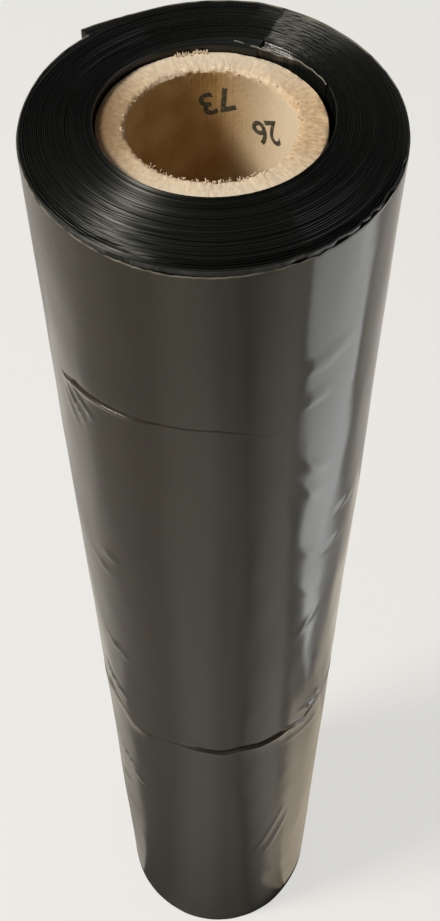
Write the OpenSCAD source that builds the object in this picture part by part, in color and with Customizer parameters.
// A roll of black plastic sheeting on a cardboard core, stood on its end.
// Millimetres, +Z up the roll. The origin is the centre of the core's lower end.
// Azimuths are degrees about +Z, counted from +X. The folded sheet winds outwards
// as the azimuth grows: its inner end lies on the core at fold_azimuth, and its
// outer end is the loose tail at tail_azimuth.

/* [Core] */
// Bore of the cardboard core
core_bore_d = 76; // [50:1:110]
// Wall of the cardboard core
core_wall = 13.5; // [4:0.5:15]
// Depth of the core's upper end below the edges of the sheeting
core_recess = 4; // [0:0.5:20]
// Bevel worn on the upper mouth of the bore
mouth_bevel = 2.5; // [0.5:0.25:3.5]

/* [Sheeting] */
// Width of the folded sheet, which is the length of the roll
film_width = 900; // [400:10:1600]
// Build of wound film on the core, where nothing lifts it
film_build = 32.5; // [12:0.5:80]
// Visible turns, each a folded stack of plies
turns = 22; // [8:1:24]
// Air between the core and the first turn
film_clearance = 0.15; // [0.05:0.05:1]
// Depth of the grooves between the turns at both ends
edge_groove = 1.2; // [0.3:0.1:2]
// How far the turns wander along the core
edge_wander = 1.4; // [0:0.1:3]

/* [Inner end] */
// Azimuth of the inner end on the core
fold_azimuth = 66; // [0:1:359]
// Rise of the turns over the inner end, next to the core
fold_rise = 7.7; // [0:0.1:12]
// Rise that is left of it on the outside of the roll
rim_rise = 4.5; // [0:0.1:8]

/* [Outer end] */
// Azimuth of the loose tail
tail_azimuth = 133.5; // [0:0.5:359]
// Lift of the tail off the turn below
tail_lift = 4; // [0:0.5:8]
// Azimuth of the side that the roll has lain on
sag_azimuth = 270; // [0:1:359]
// Slack of the outer turns on that side
sag_slack = 8.5; // [0:0.5:15]
// How far the outer turns have slipped down on that side
slip_down = 5; // [0:0.5:10]
// How much lower the outermost turn has slipped
wrap_slip = 3; // [0:0.5:6]

/* [Creases] */
// Height of the long crease around the roll
long_crease_z = 420; // [150:5:600]
// Height of the short crease on the left front
short_crease_z = 789; // [300:1:1500]
// Azimuth of the middle of the short crease
short_crease_azimuth = 235; // [180:5:300]
// Depth of a crease
crease_depth = 1.6; // [0:0.1:4]
// Half height of a crease's dent, from the fold to the smooth film
crease_reach = 9; // [4:1:20]
// Depth of the long dents between the tight and the slack parts of the wrap
flute_depth = 0.6; // [0:0.1:2]

/* [Hidden] */
$fn = 96;

// Stations along the spiral, in each turn
per_turn = 48;
station_angle = 360 / per_turn;
tail_stations = round(((tail_azimuth - fold_azimuth + 360) % 360) / station_angle);
// The last station is the tip of the tail
last = turns * per_turn + tail_stations;
// The outermost turn starts here
wrap_start = last - per_turn;

core_r = core_bore_d / 2 + core_wall;
core_len = film_width - core_recess;
// The flats between stations clear the round core by film_clearance
first_r = (core_r + film_clearance) / cos(station_angle / 2);
turn_pitch = film_build / turns;

// Share of the rise at angles from the inner end, against the core and at the rim
inner_ridge = [[-100, 0], [-66, 0.2], [-36, 0.5], [-16, 0.85], [0, 1], [12, 0.8], [30, 0.45],
               [60, 0.1], [90, 0]];
rim_ridge = [[-110, 0], [-75, 0.16], [-45, 0.18], [-21, 0.3], [-6, 0.6], [9, 1], [24, 0.67],
             [44, 0.2], [69, 0.03], [90, 0]];
// Height of the long crease above its level, by azimuth
crease_path = [[0, 0], [200, -1], [213, 9], [222, 1], [230, -12], [242, -3], [252, 1], [270, -2],
               [300, -3], [330, 0]];
// Stations over which the tail lifts
tail_reach = 3;
// Waves of the wander from the core to the rim
wander_waves = 1.9;
// Flutes around the outermost turn
flute_count = 7;

// Share of the build that lies under a station
function wound(i) = i / last;
function azimuth(i) = (fold_azimuth + i * station_angle) % 360;
// Angle from the inner end, from -180 to 180
function from_fold(i) =
    let (a = (i * station_angle) % 360)
    a > 180 ? a - 360 : a;
// 1 on the side that the roll has lain on, falling to 0 on the far side
function sagging(i) = pow((1 + cos(azimuth(i) - sag_azimuth)) / 2, 2);

// The first half turn lies on the core, so nothing lifts it
function ridge(i) =
    i < per_turn / 2 ? 0 :
    fold_rise * lookup(from_fold(i), inner_ridge) * (1 - wound(i)) +
    rim_rise * lookup(from_fold(i), rim_ridge) * wound(i);
function lift(i) = tail_lift * pow(max(0, i - last + tail_reach) / tail_reach, 2);
function film_r(i) =
    first_r + turn_pitch * i / per_turn + ridge(i) +
    sag_slack * sagging(i) * pow(wound(i), 2) + lift(i);

// Height of a turn's upper edge
function edge_z(i) =
    film_width - edge_wander * (1 - cos(360 * wander_waves * wound(i))) / 2 -
    sagging(i) * (slip_down * pow(wound(i), 3) + (i >= wrap_start - per_turn / 4 ?
    wrap_slip * min(1, (i - wrap_start + per_turn / 4) / (per_turn / 4)) : 0));
// A groove lies below the lower of the two turns that meet in it
function groove_z(i) =
    let (inside = i - per_turn, outside = min(i, wrap_start))
    min(edge_z(max(inside, 0)), edge_z(outside)) - edge_groove;

// A point at a station, on the radius r and at the height z
function at(i, r, z) = [r * cos(azimuth(i)), r * sin(azimuth(i)), z];
// The middle of the turn that starts at a station
function crest_r(i) = (film_r(i) + film_r(i + per_turn)) / 2;

// Share of the full depth that a crease has at an azimuth
function short_share(a) = max(0, 1 - pow((a - short_crease_azimuth) / 50, 2));
function long_share(a) = 0.35 + 0.65 * sqrt(max(0, cos(a - sag_azimuth)));
function long_z(a) = long_crease_z + lookup(a, crease_path);

// Rows of the outer wall: height at an azimuth, and the push outwards in shares of
// the crease depth, first the long crease's and then the short one's
function row_z(k, a) =
    k == 0 ? film_width * 0.012 :
    k == 1 ? long_z(a) * 0.25 :
    k == 2 ? long_z(a) * 0.55 :
    k == 3 ? long_z(a) * 0.8 :
    k == 4 ? long_z(a) - crease_reach :
    k == 5 ? long_z(a) - 1 :
    k == 6 ? long_z(a) + 1.5 :
    k == 7 ? long_z(a) + crease_reach :
    k == 8 ? long_z(a) + (short_crease_z - long_z(a)) * 0.3 :
    k == 9 ? long_z(a) + (short_crease_z - long_z(a)) * 0.65 :
    k == 10 ? short_crease_z - crease_reach :
    k == 11 ? short_crease_z :
    k == 12 ? short_crease_z + crease_reach :
    film_width - (film_width - short_crease_z) * 0.35;
rows = 14;
function row_push(k, a) =
    k == 4 ? -0.2 * crease_depth * long_share(a) :
    k == 5 ? -crease_depth * long_share(a) :
    k == 6 ? 0.5 * crease_depth * long_share(a) :
    k == 11 ? -0.7 * crease_depth * short_share(a) : 0;
// Flutes run up the wall and drift round it
function flute(k, a) =
    k == 0 ? 0 : flute_depth * cos(flute_count * a + 47 * k) * sin(180 * k / rows);
function wall_r(i, k) = film_r(i) + row_push(k, azimuth(i)) - flute_depth + flute(k, azimuth(i));

// Corner numbers in the point list
crests = wrap_start + 1;
function top_groove(i) = i;
function top_crest(i) = last + 1 + i;
function foot_groove(i) = last + 1 + crests + i;
function foot_crest(i) = 2 * (last + 1) + crests + i;
function wall(j, k) =
    k < 0 ? foot_groove(wrap_start + j) :
    k == rows ? top_groove(wrap_start + j) : 2 * (last + 1 + crests) + j * rows + k;

// Two triangles for the four corners a, b, c and d
function quad(a, b, c, d) = [[a, b, c], [a, c, d]];

// The film as one wound solid: ridged ends, a smooth inside and a creased outside
module film_roll() {
    points = [
        for (i = [0:last]) at(i, film_r(i), groove_z(i)),
        for (i = [0:wrap_start]) at(i, crest_r(i), edge_z(i)),
        for (i = [0:last]) at(i, film_r(i), edge_groove),
        for (i = [0:wrap_start]) at(i, crest_r(i), 0),
        for (j = [0:per_turn], k = [0:rows - 1])
            at(wrap_start + j, wall_r(wrap_start + j, k), row_z(k, azimuth(wrap_start + j)))
    ];
    ends = [for (i = [0:wrap_start - 1]) each concat(
        quad(top_groove(i), top_groove(i + 1), top_crest(i + 1), top_crest(i)),
        quad(top_crest(i), top_crest(i + 1), top_groove(i + per_turn + 1),
             top_groove(i + per_turn)),
        quad(foot_groove(i), foot_crest(i), foot_crest(i + 1), foot_groove(i + 1)),
        quad(foot_crest(i), foot_groove(i + per_turn), foot_groove(i + per_turn + 1),
             foot_crest(i + 1)))];
    inside = [for (i = [0:per_turn - 1])
        each quad(foot_groove(i), foot_groove(i + 1), top_groove(i + 1), top_groove(i))];
    outside = [for (j = [0:per_turn - 1], k = [-1:rows - 1])
        each quad(wall(j, k), wall(j, k + 1), wall(j + 1, k + 1), wall(j + 1, k))];
    start_face = concat(
        quad(foot_groove(0), top_groove(0), top_groove(per_turn), foot_groove(per_turn)),
        [[foot_groove(0), foot_groove(per_turn), foot_crest(0)],
         [top_groove(0), top_crest(0), top_groove(per_turn)]]);
    tail_face = concat(
        [for (k = [-1:rows - 1])
            each quad(wall(0, k), wall(per_turn, k), wall(per_turn, k + 1), wall(0, k + 1))],
        [[wall(0, -1), foot_crest(wrap_start), wall(per_turn, -1)],
         [wall(0, rows), wall(per_turn, rows), top_crest(wrap_start)]]);
    color([0.13, 0.13, 0.12])
        polyhedron(points, concat(ends, inside, outside, start_face, tail_face), convexity = 10);
}

// The core: a cardboard tube, cut square below and worn at its upper mouth
module core_tube() {
    bore_r = core_bore_d / 2;
    color([0.76, 0.63, 0.46])
        rotate_extrude()
            polygon([[bore_r, 0], [core_r, 0], [core_r, core_len],
                     [bore_r + mouth_bevel, core_len], [bore_r, core_len - mouth_bevel]]);
}

film_roll();
core_tube();
